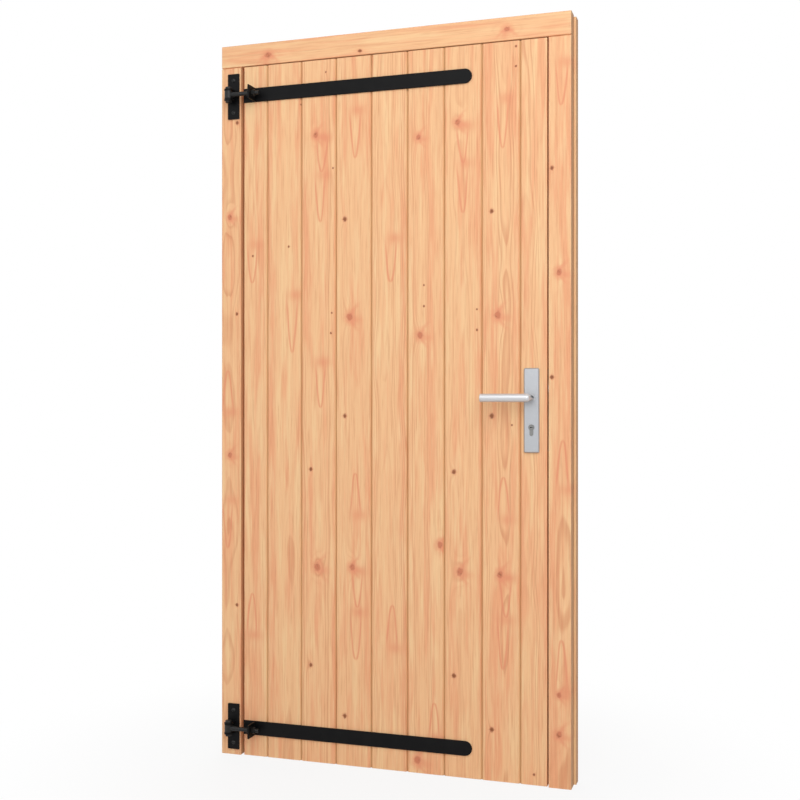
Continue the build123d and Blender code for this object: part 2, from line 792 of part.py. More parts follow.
# The latch is bevelled on its inner side, which meets the jamb as the leaf closes
with BuildPart() as latch_bolt:
    half = latch_thickness / 2
    with BuildSketch(Plane.XY.offset(latch_level - latch_height / 2)):
        with BuildLine():
            Polyline(
                (latch_shoulder, -half),
                (latch_tip, -half),
                (latch_tip, latch_nose - half),
                (leaf_right, half),
                (latch_shoulder, half),
                close=True,
            )
        make_face()
    extrude(amount=latch_height)
    with BuildSketch(facing_out(latch_tail_width / 2)):
        with Locations(((nib_left + latch_shoulder) / 2, latch_level)):
            Rectangle(latch_shoulder - nib_left, latch_tail_height)
        with Locations(((nib_left + nib_right) / 2, latch_level - latch_nib_drop / 2)):
            Rectangle(latch_nib_width, latch_nib_drop)
    extrude(amount=latch_tail_width)
finish(latch_bolt, "latch_bolt")

with BuildPart() as latch_spring:
    length = spring_end - spring_start
    with BuildLine() as wire:
        Helix(
            pitch=length / spring_turns,
            height=length,
            radius=spring_radius,
            center=(spring_start, 0, latch_level),
            direction=(1, 0, 0),
        )
    with BuildSketch(Plane(origin=wire.line @ 0, z_dir=wire.line % 0)):
        Circle(spring_wire / 2)
    sweep(is_frenet=True)
finish(latch_spring, "latch_spring")

with BuildPart() as dead_bolt:
    with BuildSketch(facing_right(leaf_right - dead_bolt_length)):
        with Locations((0, bolt_level)):
            Rectangle(dead_bolt_thickness, dead_bolt_height)
    extrude(amount=dead_bolt_length)
    chamfer(faces().sort_by(Axis.X)[-1].edges(), latch_nose / 4)
finish(dead_bolt, "dead_bolt")

# The follower turns with the spindle, and its arm draws the latch back by the nib
with BuildPart() as follower:
    reach = inner_half - follower_play
    with BuildSketch(facing_out(reach)):
        with Locations((spindle_x, handle_level)):
            Circle(follower_radius)
    extrude(amount=2 * reach)
    with BuildSketch(facing_out(latch_tail_width / 2)):
        with Locations((spindle_x, handle_level + arm_reach / 2)):
            Rectangle(arm_width, arm_reach)
    extrude(amount=latch_tail_width)
    with BuildSketch(facing_out(case_half)):
        with Locations((spindle_x, handle_level)):
            Circle(follower_boss_radius)
    extrude(amount=case_thickness)
    with BuildSketch(facing_out(case_half + overrun)):
        with Locations((spindle_x, handle_level)):
            Rectangle(spindle_side + 2 * spindle_clearance, spindle_side + 2 * spindle_clearance)
    extrude(amount=case_thickness + 2 * overrun, mode=Mode.SUBTRACT)
finish(follower, "follower")

with BuildPart() as spindle:
    with BuildSketch(facing_out(spindle_half)):
        with Locations((spindle_x, handle_level)):
            Rectangle(spindle_side, spindle_side)
    extrude(amount=2 * spindle_half)
    chamfer(faces().filter_by(Axis.Y).edges(), spindle_clearance)
finish(spindle, "spindle")

# Profile cylinder: barrel cut away in the middle for the cam, and a plug at each end
cam_half = cam_width / 2
gap_half = cam_half + cam_clearance
with BuildPart() as cylinder_barrel:
    with BuildSketch(facing_out(barrel_half)):
        add(barrel_outline(0))
    extrude(amount=2 * barrel_half)
    round_cut(
        bored(spindle_x, -barrel_half - overrun, key_level, (0, 1, 0)),
        plug_radius + plug_fit,
        2 * (barrel_half + overrun),
    )
    with BuildSketch(facing_out(gap_half)):
        bridge = key_level - cam_reach - cam_clearance
        with Locations((spindle_x, (bridge + key_level + cam_reach) / 2)):
            Rectangle(2 * cam_reach, key_level + cam_reach - bridge)
    extrude(amount=2 * gap_half, mode=Mode.SUBTRACT)
    start = bored(leaf_right, 0, barrel_screw_level, (-1, 0, 0))
    round_cut(start, barrel_screw_radius + screw_clearance, barrel_screw_length + overrun)
finish(cylinder_barrel, "cylinder_barrel")

for name, side in (("outside_plug", -1), ("inside_plug", 1)):
    with BuildPart() as plug:
        plug_length = barrel_half - cam_half
        round_bar(bored(spindle_x, side * cam_half, key_level, (0, side, 0)), plug_radius, plug_length)
        chamfer(faces().sort_by(Axis.Y)[-1 if side > 0 else 0].edges(), plug_edge)
        with BuildSketch(bored(spindle_x, side * barrel_half, key_level, (0, -side, 0))):
            SlotOverall(keyway_height, keyway_width, rotation=90)
        extrude(amount=keyway_depth, mode=Mode.SUBTRACT)
    finish(plug, name)

with BuildPart() as cylinder_cam:
    with BuildSketch(facing_out(cam_half)):
        with Locations((spindle_x, key_level)):
            Circle(barrel_radius - cam_clearance)
        straight = cam_reach - cam_nose_width / 2
        with Locations((spindle_x, key_level - straight / 2)):
            Rectangle(cam_nose_width, straight)
        with Locations((spindle_x, key_level - straight)):
            Circle(cam_nose_width / 2)
    extrude(amount=cam_width)
finish(cylinder_cam, "cylinder_cam")


def handle_plate(side, pillared):
    # Pressed plate, hollow behind, bevelled round its face; side is -1 outside and 1 inside
    back = side * leaf_back
    face = Plane((0, back, 0), x_dir=(1, 0, 0), z_dir=(0, side, 0))
    up = face.y_dir.Z
    middle = (spindle_x, up * plate_middle)
    with BuildSketch(face) as outline:
        with Locations(middle):
            RectangleRounded(plate_width, plate_height, plate_corner)
    extrude(outline.sketch, amount=plate_depth)
    outer_face = faces().sort_by(Axis.Y)[-1 if side > 0 else 0]
    chamfer(outer_face.edges(), plate_bevel)
    with BuildSketch(face) as hollow:
        with Locations(middle):
            inner = max(plate_corner - plate_wall, plate_wall / 2)
            RectangleRounded(plate_width - 2 * plate_wall, plate_height - 2 * plate_wall, inner)
    extrude(hollow.sketch, amount=plate_depth - plate_wall, mode=Mode.SUBTRACT)
    with BuildSketch(face) as bosses:
        with Locations((spindle_x, up * handle_level)):
            Circle(bush_radius + plate_wall)
        with Locations(*[(spindle_x, up * level) for level in plate_bolt_levels]):
            Circle(pillar_radius)
    extrude(bosses.sketch, amount=plate_depth - plate_wall)
    if pillared:
        for level in plate_bolt_levels:
            start = bored(spindle_x, back, level, (0, -side, 0))
            round_bar(start, pillar_radius, board_thickness)
    far = bored(spindle_x, back - side * overrun, handle_level, (0, side, 0))
    round_cut(far, bush_radius + seat_clearance, plate_depth + 2 * overrun)
    with BuildSketch(facing_out(back - side * overrun)) as keyhole:
        add(barrel_outline(barrel_clearance))
    extrude(keyhole.sketch, amount=-side * (plate_depth + 2 * overrun), mode=Mode.SUBTRACT)


with BuildPart() as outside_plate:
    handle_plate(-1, True)
    for level in plate_bolt_levels:
        start = bored(spindle_x, board_back + overrun, level, (0, -1, 0))
        depth = board_thickness + plate_depth - plate_wall + overrun - plate_bolt_grip
        round_cut(start, plate_bolt_radius + screw_clearance, depth)
finish(outside_plate, "outside_plate")

plate_bolt_end = leaf_front - plate_depth + plate_wall + 2 * plate_bolt_grip
inside_face = leaf_back + plate_depth
with BuildPart() as inside_plate:
    handle_plate(1, False)
    for level in plate_bolt_levels:
        start = bored(spindle_x, inside_face, level, (0, -1, 0))
        sunk = plate_bolt_head_radius + screw_clearance
        bore = plate_bolt_radius + screw_clearance
        countersunk_cut(start, bore, plate_depth + overrun, sunk, plate_bolt_head_height)
finish(inside_plate, "inside_plate")

with BuildPart() as plate_bolts:
    for level in plate_bolt_levels:
        start = bored(spindle_x, inside_face, level, (0, -1, 0))
        length = inside_face - plate_bolt_end
        countersunk_screw(
            start, plate_bolt_radius, length, plate_bolt_head_radius, plate_bolt_head_height
        )
finish(plate_bolts, "plate_bolts")

# Levers: a straight round bar on a neck that turns in a bush in the plate
for place, side in (("outside", -1), ("inside", 1)):
    with BuildPart() as bush:
        start = bored(spindle_x, side * -leaf_front, handle_level, (0, side, 0))
        flange = bored(spindle_x, side * -plate_front, handle_level, (0, side, 0))
        round_bar(start, bush_radius, plate_depth)
        round_bar(flange, bush_flange_radius, bush_flange)
        round_cut(start, lever_neck_radius + lever_neck_fit, plate_depth + bush_flange + overrun)
    finish(bush, f"{place}_bush")

    with BuildPart() as lever:
        tip = bored(spindle_x - lever_length, side * -lever_axis, handle_level, (1, 0, 0))
        round_bar(tip, lever_radius, lever_length + lever_past_axis)
        rims = edges().filter_by(GeomType.CIRCLE).sort_by(Axis.X)
        fillet(rims[0], lever_end_round)
        fillet(rims[-1], lever_heel_round)
        with BuildSketch(Plane.XY.offset(handle_level)) as half_neck:
            with Locations((spindle_x + lever_neck_radius / 2, side * -(neck_end + lever_axis) / 2)):
                Rectangle(lever_neck_radius, neck_end - lever_axis)
            outer_corners = vertices().group_by(Axis.Y)[-1 if side > 0 else 0]
            fillet(outer_corners.sort_by(Axis.X)[-1], lever_neck_round)
        revolve(half_neck.sketch, axis=Axis((spindle_x, 0, handle_level), (0, 1, 0)))
        with BuildSketch(bored(spindle_x, side * -neck_end, handle_level, (0, side, 0))):
            Rectangle(spindle_side + 2 * spindle_clearance, spindle_side + 2 * spindle_clearance)
        extrude(amount=lever_socket_depth, mode=Mode.SUBTRACT)
    finish(lever, f"{place}_lever")
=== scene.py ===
import math

import bpy
import numpy as np
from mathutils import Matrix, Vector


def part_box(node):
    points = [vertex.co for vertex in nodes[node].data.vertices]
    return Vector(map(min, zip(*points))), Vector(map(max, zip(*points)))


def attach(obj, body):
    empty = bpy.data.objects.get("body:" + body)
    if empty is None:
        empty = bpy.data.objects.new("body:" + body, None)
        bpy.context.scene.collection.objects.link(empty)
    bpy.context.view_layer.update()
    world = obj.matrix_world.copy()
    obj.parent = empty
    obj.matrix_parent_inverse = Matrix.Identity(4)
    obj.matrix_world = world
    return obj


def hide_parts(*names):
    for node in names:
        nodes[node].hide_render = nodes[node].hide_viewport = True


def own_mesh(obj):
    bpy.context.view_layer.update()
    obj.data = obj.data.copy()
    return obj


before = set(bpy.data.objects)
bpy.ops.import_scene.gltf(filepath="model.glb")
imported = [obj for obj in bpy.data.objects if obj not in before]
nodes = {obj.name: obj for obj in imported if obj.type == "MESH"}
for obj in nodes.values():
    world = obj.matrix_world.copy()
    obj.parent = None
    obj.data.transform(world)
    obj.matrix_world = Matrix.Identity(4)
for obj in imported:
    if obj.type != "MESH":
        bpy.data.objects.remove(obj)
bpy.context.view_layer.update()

print("frame loaded,", len(nodes), "CAD nodes")


def tone(red, green, blue):
    # a screen colour from 0 to 255 as linear light
    parts = [v / 255 for v in (red, green, blue)]
    return tuple(v / 12.92 if v <= 0.04045 else ((v + 0.055) / 1.055) ** 2.4 for v in parts) + (1.0,)


class Wire:
    # one output socket: + - * / and ** on it add Math nodes
    def __init__(self, paint, socket):
        self.paint = paint
        self.socket = socket

    def other(self, name):
        return Wire(self.paint, self.socket.node.outputs[name])

    def __add__(self, value):
        return self.paint.math("ADD", self, value)

    def __sub__(self, value):
        return self.paint.math("SUBTRACT", self, value)

    def __rsub__(self, value):
        return self.paint.math("SUBTRACT", value, self)

    def __mul__(self, value):
        return self.paint.math("MULTIPLY", self, value)

    def __truediv__(self, value):
        return self.paint.math("DIVIDE", self, value)

    def __rtruediv__(self, value):
        return self.paint.math("DIVIDE", value, self)

    def __pow__(self, value):
        return self.paint.math("POWER", self, value)

    def __neg__(self):
        return self.paint.math("MULTIPLY", self, -1.0)

    __radd__ = __add__
    __rmul__ = __mul__


class Paint:
    # one material or world and its nodes
    def __init__(self, owner):
        self.owner = owner
        owner.use_nodes = True
        self.tree = owner.node_tree
        self.tree.nodes.clear()

    def node(self, kind, settings=None, sockets=None, out=0):
        made = self.tree.nodes.new(kind)
        for key, value in (settings or {}).items():
            setattr(made, key, value)
        for key, value in (sockets or {}).items():
            if isinstance(value, Wire):
                self.tree.links.new(value.socket, made.inputs[key])
            else:
                made.inputs[key].default_value = value
        return Wire(self, made.outputs[out]) if made.outputs else made

    def math(self, operation, *values):
        return self.node("ShaderNodeMath", {"operation": operation}, dict(enumerate(values)))

    def smooth(self, value, low, high):
        # 0 below low, 1 above high, an S curve between
        limits = {"Value": value, "From Min": low, "From Max": high}
        return self.node("ShaderNodeMapRange", {"interpolation_type": "SMOOTHSTEP"}, limits)

    def noise(self, vector, scale=1.0, detail=2.0, roughness=0.5):
        values = {"Vector": vector, "Scale": scale, "Detail": detail, "Roughness": roughness}
        return self.node("ShaderNodeTexNoise", {"noise_dimensions": "3D"}, values)

    def wave(self, value, detail=1.0):
        # noise along one value
        values = {"W": value, "Scale": 1.0, "Detail": detail}
        return self.node("ShaderNodeTexNoise", {"noise_dimensions": "1D"}, values)

    def vector(self, x, y, z):
        return self.node("ShaderNodeCombineXYZ", None, {"X": x, "Y": y, "Z": z})

    def mix(self, share, first, second):
        # colours: 0 is the share, 6 and 7 the two colours, 2 the result
        return self.node("ShaderNodeMix", {"data_type": "RGBA"}, {0: share, 6: first, 7: second}, 2)

    def scaled(self, colour, factor):
        plain = colour if isinstance(colour, Wire) else colour[:3]
        return self.node("ShaderNodeVectorMath", {"operation": "SCALE"}, {"Vector": plain, "Scale": factor})

    def place(self):
        # Object coordinates in millimetres
        spot = self.node("ShaderNodeTexCoord", None, None, "Object")
        spot = self.node("ShaderNodeVectorMath", {"operation": "SCALE"}, {"Vector": spot, "Scale": 1000.0})
        axes = self.node("ShaderNodeSeparateXYZ", None, {"Vector": spot})
        return axes, axes.other("Y"), axes.other("Z"), spot

    def surface(self, colour, roughness, height=None, bump=None, **fixed):
        values = {"Base Color": colour, "Roughness": roughness}
        values.update({key.replace("_", " "): value for key, value in fixed.items()})
        if height is not None:
            relief = {"Height": height, "Strength": 1.0, "Distance": bump}
            values["Normal"] = self.node("ShaderNodeBump", None, relief)
        shader = self.node("ShaderNodeBsdfPrincipled", None, values)
        self.node("ShaderNodeOutputMaterial", None, {"Surface": shader})
        return self.owner


# Timber. Colours of the planed softwood and of the shade painted in its joints and on the frame's sides, the
# width of a year ring and the height of its ridges
softwood = {
    "tan": tone(241, 191, 143),
    "salmon": tone(234, 154, 114),
    "pale": tone(245, 208, 158),
    "line": tone(212, 138, 98),
    "groove": tone(188, 142, 92),
    "flame": tone(228, 144, 108),
    "knotHalo": tone(230, 148, 112),
    "knotRose": tone(204, 124, 92),
    "knotCore": tone(130, 76, 44),
    "sideShade": tone(142, 98, 60),
    "ringWidth": 4.8,
    "ridge": 0.0001,
    "bigKnot": 7,
}
# Lengths in millimetres over which the pith and the rings wander, and how far they do
wander = {"drift": 520, "lift": 300, "liftBy": 14, "rippleAcross": 34, "rippleAlong": 330, "rippleBy": 6}
# Layers of noise in the timber: how often each varies across and along the grain, per millimetre
layers = {
    "patch": {"across": 0.05, "along": 0.0034, "shift": 9, "detail": 3.0, "rough": 0.6},
    "light": {"across": 0.06, "along": 0.004, "shift": 21, "detail": 2.0, "rough": 0.5},
    "streak": {"across": 0.24, "along": 0.0075, "shift": 31, "detail": 3.0, "rough": 0.65},
    "fibre": {"across": 0.7, "along": 0.009, "shift": 31, "detail": 3.0, "rough": 0.6},
}
fleckScale = {"across": 3.1, "along": 0.045}
# Half the width of a flame at its end, and the blush there: its place across, half width and half height
flame = {"width": 17, "sway": 14, "blushAt": -11, "blushWide": 25, "blushHigh": 17}
# Depth in the joints between boards at which the painted shade starts, is full, fades and ends
jointShadeDepth = {"start": 0.5, "full": 4.0, "fade": 8.0, "end": 12.0}
# The frame's outer sides, where shade and light are painted: where the front face ends, where the narrow
# ledge beside it ends, and its front
outside = {"face": 1000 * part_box("head")[1][0], "ledge": 1000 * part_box("lock_jamb")[1][0],
           "front": 1000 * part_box("hinge_stile")[1][1] + 1.0, "soft": 0.3}


def flameOn(paint, colour, a, l, length, ripple):
    # a year ring cut at a slant: half its width grows from the tip as the root of the length,
    # and a blush ends it
    share = l / length
    opened = paint.math("MAXIMUM", share, 0.0) ** 0.5 * flame["width"]
    side = paint.math("ABSOLUTE", a + (ripple - 0.5) * flame["sway"])
    line = 1 - paint.smooth(paint.math("ABSOLUTE", side - opened), 0.6, 4.6)
    line = line * paint.smooth(share, -0.03, 0.04) * (1 - paint.smooth(share, 0.7, 1.1))
    colour = paint.mix(line * 0.72, colour, softwood["flame"])
    wide, high = (a - flame["blushAt"]) / flame["blushWide"], (l - length) / flame["blushHigh"]
    blush = paint.math("EXPONENT", -(wide ** 2 + high ** 2))
    return paint.mix(blush * (0.2 + ripple * 0.7), colour, softwood["flame"])


def knotOn(paint, colour, a, l, size, spot):
    # a large knot is rosy, with a wing that leaves it slantwise up and down and a blush to one side;
    # a small one is brown, with a short spike to each side
    rough = paint.noise(spot, 1.2 / size, 3.0)
    side, reach = paint.math("ABSOLUTE", a), paint.math("ABSOLUTE", l)
    big = size > softwood["bigKnot"]
    q = ((a / size) ** 2 + (l / (size * 1.2)) ** 2) ** 0.5 + (rough - 0.5) * 1.1
    if big:
        slant = a + reach ** 1.3 * (0.45 / size ** 0.3) + (rough - 0.5) * (size * 1.3)
        wing = 1 - paint.smooth(paint.math("ABSOLUTE", slant), 0.0, size * 0.45 + rough * (size * 1.3))
        wing = wing * (1 - paint.smooth(reach, size * 1.6, size * 4.6)) * 0.8
        blush = paint.math("EXPONENT", -(((a / size + 1.7) / 1.7) ** 2 + ((l / size + 0.8) / 1.0) ** 2))
        wing = paint.math("MAXIMUM", wing, blush * (0.3 + rough * 0.9))
    else:
        wing = 1 - paint.smooth(reach, 0.0, size * 0.35)
        wing = wing * (1 - paint.smooth(side, size * 0.8, size * 2.4))
    colour = paint.mix(wing * 0.7, colour, softwood["knotHalo" if big else "line"])
    halo = 1 - paint.smooth(q, 0.7, 2.4 if big else 1.9)
    colour = paint.mix(halo * 0.6, colour, softwood["knotHalo"])
    core = 1 - paint.smooth(q, 0.45, 1.0 if big else 1.3)
    colour = paint.mix(core * 0.88, colour, softwood["knotRose" if big else "knotCore"])
    speck = core * paint.smooth(rough, 0.52, 0.62)
    return paint.mix(speck * 0.45, colour, softwood["knotCore"]), core


def woodPaint(name, timber):
    # Growth rings are cylinders about a pith that wanders along the piece:
    # radius = root of (across - pith)^2 + (depth - pith)^2, bent outwards round every knot
    paint = Paint(bpy.data.materials.new(name))
    x, y, z, spot = paint.place()
    low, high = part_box(name)
    middle = [500 * (low[k] + high[k]) for k in range(3)]
    turn, seed = timber["turn"], timber["seed"]
    right, up = x - middle[0], z - middle[2]
    flat, steep = math.cos(turn), math.sin(turn)
    if abs(flat) < 1e-6:
        along, across = up, -right
    elif abs(steep) < 1e-6:
        along, across = right, up
    else:
        along, across = right * flat + up * steep, up * flat - right * steep
    depth = y - middle[1]

    drift = (paint.wave(along / wander["drift"] + seed * 7.3) - 0.5) * timber["wander"]
    lift = (paint.wave(along / wander["lift"] + seed * 3.1 + 40) - 0.5) * wander["liftBy"]
    u = across - timber["pith"][0] + drift
    v = depth - timber["pith"][1] + lift + along * (timber["slope"] / 1000)
    swell = paint.vector(across / wander["rippleAcross"] + seed, depth / wander["rippleAcross"],
                         along / wander["rippleAlong"])
    ripple = paint.noise(swell, 1.0, 2.0)
    radius = (u * u + v * v) ** 0.5 + (ripple - 0.5) * wander["rippleBy"]

    def measured(spotX, spotZ):
        # how far across and along the grain from a spot on the face
        kx, kz = spotX - middle[0], spotZ - middle[2]
        return across - (kz * flat - kx * steep), along - (kx * flat + kz * steep)

    knots = []
    for knotX, knotZ, size in timber["knots"]:
        a, l = measured(knotX, knotZ)
        near = paint.math("EXPONENT", -((a / (size * 1.8)) ** 2 + (l / (size * 5.0)) ** 2))
        radius = radius + near * (size * 1.1)
        knots.append((a, l, size))

    ring = radius / softwood["ringWidth"]
    year = ring + paint.wave(ring * 0.5 + seed * 11) * 1.5
    saw = paint.math("FRACT", year)
    late = paint.smooth(saw, 0.4, 0.85) - paint.smooth(saw, 0.88, 1.0)
    strong = paint.smooth(paint.wave(ring * 0.3 + seed * 5 + 9), 0.48, 0.66)
    band = paint.wave(ring * 0.22 + seed * 13, 2.0)
    cloud = {}
    for key, layer in layers.items():
        often = layer["across"]
        grain = paint.vector(across * often + seed * layer["shift"], depth * often, along * layer["along"])
        cloud[key] = paint.noise(grain, 1.0, layer["detail"], layer["rough"])
    often = fleckScale["across"]
    grain = paint.vector(across * often, depth * often + seed, along * fleckScale["along"])
    fleck = paint.noise(grain, 1.0, 2.0)
    streak, fibre = cloud["streak"], cloud["fibre"]

    warm = timber["warm"]
    pink = paint.smooth(band * 0.35 + cloud["patch"] * 0.65, 0.45, 0.62)
    colour = paint.mix(pink * (0.38 + 0.4 * warm), softwood["tan"], softwood["salmon"])
    bright = paint.smooth(cloud["light"], 0.5, 0.68)
    colour = paint.mix(bright * (0.8 - 0.5 * warm), colour, softwood["pale"])
    colour = paint.mix(late * (0.06 + strong * 0.5), colour, softwood["line"])
    colour = paint.mix(paint.smooth(streak, 0.5, 0.72) * 0.44, colour, softwood["line"])
    colour = paint.mix(paint.smooth(1 - streak, 0.5, 0.72) * 0.4, colour, softwood["pale"])
    colour = paint.scaled(colour, 0.9 + fibre * 0.12 + fleck * 0.08)

    for tipX, tipZ, length in timber.get("flames", []):
        a, l = measured(tipX, tipZ)
        colour = flameOn(paint, colour, a, l, length, ripple)
    hard = late * 0.5
    for a, l, size in knots:
        colour, core = knotOn(paint, colour, a, l, size, spot)
        hard = hard + core * 0.6
    if "board" in name:
        # painted shade: the joints between the boards are darkened, deeper down more of it
        behind = y - 1000 * low[1]
        jointShadeShare = paint.smooth(behind, jointShadeDepth["start"], jointShadeDepth["full"])
        jointShadeShare = jointShadeShare - paint.smooth(behind, jointShadeDepth["fade"], jointShadeDepth["end"])
        colour = paint.mix(jointShadeShare * 0.55, colour, softwood["groove"])
    if "jamb" in name or name == "head":
        # painted shade: the frame's outer sides and a line at the edge of the front face are darkened;
        # painted light: the front of the narrow ledge is lightened
        reach, soft = paint.math("ABSOLUTE", x), outside["soft"]
        edge = paint.smooth(reach, outside["face"] - 2 * soft, outside["face"] - soft)
        past = paint.smooth(reach, outside["face"] + soft, outside["face"] + 2 * soft)
        outer = paint.smooth(reach, outside["ledge"] - 2 * soft, outside["ledge"] - soft)
        colour = paint.mix((edge - past + outer) * 0.5, colour, softwood["sideShade"])
        ahead = 1 - paint.smooth(y, outside["front"] + soft, outside["front"] + 2 * soft)
        # painted light on the front of the narrow ledge, in the wood's pale tone
        colour = paint.mix((past - outer) * ahead * 0.5, colour, softwood["pale"])
    roughness = 0.62 - late * 0.08 + fibre * 0.1
    height = hard + fibre * 0.8 + fleck * 0.35
    return paint.surface(colour, roughness, height, softwood["ridge"], Specular_IOR_Level=0.3)


upright = math.pi / 2
timbers = {
    "board_1": {"seed": 1.0, "pith": (30, 34), "slope": 4, "wander": 18, "warm": 0.4,
                "knots": [(-440, 1545, 3)],
                "flames": [(-440, 1461, 118), (-443, 504, -130)]},
    "board_2": {"seed": 2.0, "pith": (-14, 36), "slope": -6, "wander": 20, "warm": 0.5,
                "knots": [(-280, 2001, 2.5), (-320, 1569, 3)],
                "flames": [(-309, 1244, 177)]},
    "board_3": {"seed": 3.0, "pith": (12, 30), "slope": 5, "wander": 16, "warm": 0.6,
                "knots": [(-231, 1904, 10), (-226, 594, 12), (-247, 890, 5), (-247, 295, 5),
                          (-198, 2092, 2.5), (-175, 1800, 2.5), (-179, 1363, 2.5), (-182, 1302, 3)],
                "flames": [(-217, 1639, 142), (-217, 1076, 139), (-211, 1790, 103)]},
    "board_4": {"seed": 4.0, "pith": (-10, 34), "slope": 7, "wander": 16, "warm": 0.55,
                "knots": [(-137, 1644, 6), (-121, 1349, 12), (-113, 599, 10), (-137, 1052, 5.5),
                          (-137, 150, 6)],
                "flames": [(-105, 1825, 144), (-102, 321, 144), (-98, 477, 108), (-102, 881, -126)]},
    "board_5": {"seed": 5.0, "pith": (16, 38), "slope": -4, "wander": 20, "warm": 0.35, "knots": [],
                "flames": [(9, 1450, 131), (12, 492, -128)]},
    "board_6": {"seed": 6.0, "pith": (-40, 32), "slope": 4, "wander": 18, "warm": 0.35,
                "knots": [(94, 1874, 9), (99, 1291, 11), (160, 676, 10), (91, 40, 13), (111, 1438, 2.5),
                          (111, 1376, 3)],
                "flames": [(142, 212, -103)]},
    "board_7": {"seed": 7.0, "pith": (12, 36), "slope": -7, "wander": 16, "warm": 0.55,
                "knots": [(213, 1909, 10), (220, 600, 12), (202, 890, 6), (202, 296, 6),
                          (271, 1363, 2.5), (271, 1303, 3)],
                "flames": [(229, 1644, 145), (229, 1789, 107)]},
    "board_8": {"seed": 8.0, "pith": (-8, 30), "slope": 6, "wander": 18, "warm": 0.6,
                "knots": [(315, 1645, 5.5), (332, 1345, 12), (315, 1054, 6.5), (339, 597, 11), (315, 149, 6),
                          (386, 2114, 3), (386, 2057, 3), (374, 1028, 2.5)],
                "flames": [(348, 1824, 144), (348, 324, 144), (357, 474, 115), (351, 879, -124)]},
    "board_9": {"seed": 9.0, "pith": (24, 38), "slope": -4, "wander": 18, "warm": 0.4,
                "knots": [(438, 32, 3.5)]},
    "hinge_jamb": {"seed": 10.0, "pith": (16, 50), "slope": 4, "wander": 16, "warm": 0.6,
                   "knots": [(-492, 1960, 5), (-517, 1669, 9), (-493, 1367, 4.5), (-517, 929, 9),
                             (-493, 464, 4.5)],
                   "flames": [(-524, 639, 150), (-524, 1193, -130)]},
    "lock_jamb": {"seed": 11.0, "pith": (-20, 54), "slope": -5, "wander": 16, "warm": 0.5,
                  "knots": [(510, 1462, 10), (490, 1758, 5), (490, 1165, 5.5), (510, 152, 11), (510, 265, 8)],
                  "flames": [(521, 987, -141), (518, 421, -147), (518, 1934, 122)]},
    "head": {"seed": 12.0, "turn": 0.0, "pith": (10, 44), "slope": 5, "wander": 16, "warm": 0.4,
             "knots": [(-388, 2161, 11), (-88, 2145, 5), (360, 2165, 9)]},
    "hinge_stile": {"seed": 13.0, "pith": (-50, -36), "slope": 5, "wander": 18, "warm": 0.45,
                    "knots": [(-430, 640, 6)]},
    "lock_stile": {"seed": 14.0, "pith": (46, -40), "slope": -6, "wander": 18, "warm": 0.4,
                   "knots": [(415, 1540, 6.5)]},
    "bottom_rail": {"seed": 15.0, "turn": 0.0, "pith": (14, -34), "slope": 9, "wander": 16, "warm": 0.5,
                    "knots": [(150, 96, 8)]},
    "middle_rail": {"seed": 16.0, "turn": 0.0, "pith": (-58, -40), "slope": -8, "wander": 16, "warm": 0.4,
                    "knots": [(-120, 1052, 7)]},
    "top_rail": {"seed": 17.0, "turn": 0.0, "pith": (40, -36), "slope": 6, "wander": 16, "warm": 0.55,
                 "knots": []},
    "lower_brace": {"seed": 18.0, "pith": (40, -42), "slope": 6, "wander": 18, "warm": 0.45,
                    "knots": [(40, 560, 6)]},
    "upper_brace": {"seed": 19.0, "pith": (-44, -38), "slope": -7, "wander": 18, "warm": 0.5,
                    "knots": [(-90, 1480, 6)]},
}
for name, timber in timbers.items():
    low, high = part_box(name)
    if "brace" in name:
        timber["turn"] = math.atan2(high[2] - low[2], high[0] - low[0])
    timber.setdefault("turn", upright)
    nodes[name].data.materials.clear()
    nodes[name].data.materials.append(woodPaint(name, timber))
print("timber done,", len(timbers), "pieces")


# Black satin powder coat, a fine pebbled skin with a little unevenness in its gloss,
# and the oiled black of bolts
coats = {
    "black_steel": {"colour": tone(10, 10, 11), "dust": tone(18, 18, 18), "pebble": 0.9, "skin": 0.00005,
                    "rough": 0.36, "gloss": 0.12},
    "black_bolts": {"colour": tone(19, 19, 19), "dust": tone(38, 37, 35), "pebble": 0.5, "skin": 0.00003,
                    "rough": 0.28, "gloss": 0.3},
}


def coatPaint(name, coat):
    paint = Paint(bpy.data.materials.new(name))
    x, y, z, spot = paint.place()
    pebbles = paint.noise(spot, coat["pebble"], 2.0, 0.6)
    sweep = paint.noise(spot, 0.03, 3.0)
    colour = paint.mix(paint.smooth(sweep, 0.4, 0.7) * 0.5, coat["colour"], coat["dust"])
    roughness = coat["rough"] + sweep * 0.16 + pebbles * 0.06
    return paint.surface(colour, roughness, pebbles, coat["skin"], Specular_IOR_Level=coat["gloss"])


# Metals: brushed along one axis, or cast and plated with a faint mottle
metals = {
    "satin_aluminium": {"colour": tone(178, 180, 183), "dark": tone(156, 159, 164), "rough": 0.3,
                        "brush": (5.0, 5.0, 0.05)},
    "polished_aluminium": {"colour": tone(212, 212, 214), "dark": tone(194, 195, 198), "rough": 0.26,
                           "brush": (0.06, 4.0, 4.0), "metallic": 0.45},
    "nickel_brass": {"colour": tone(142, 142, 140), "dark": tone(112, 112, 110), "rough": 0.26,
                     "brush": (3.0, 0.2, 3.0)},
    "dull_zinc": {"colour": tone(138, 130, 116), "dark": tone(104, 98, 88), "rough": 0.5,
                  "brush": (0.9, 0.9, 0.9)},
    "zinc_steel": {"colour": tone(190, 193, 196), "dark": tone(158, 161, 166), "rough": 0.34,
                   "brush": (0.7, 0.7, 0.7)},
}


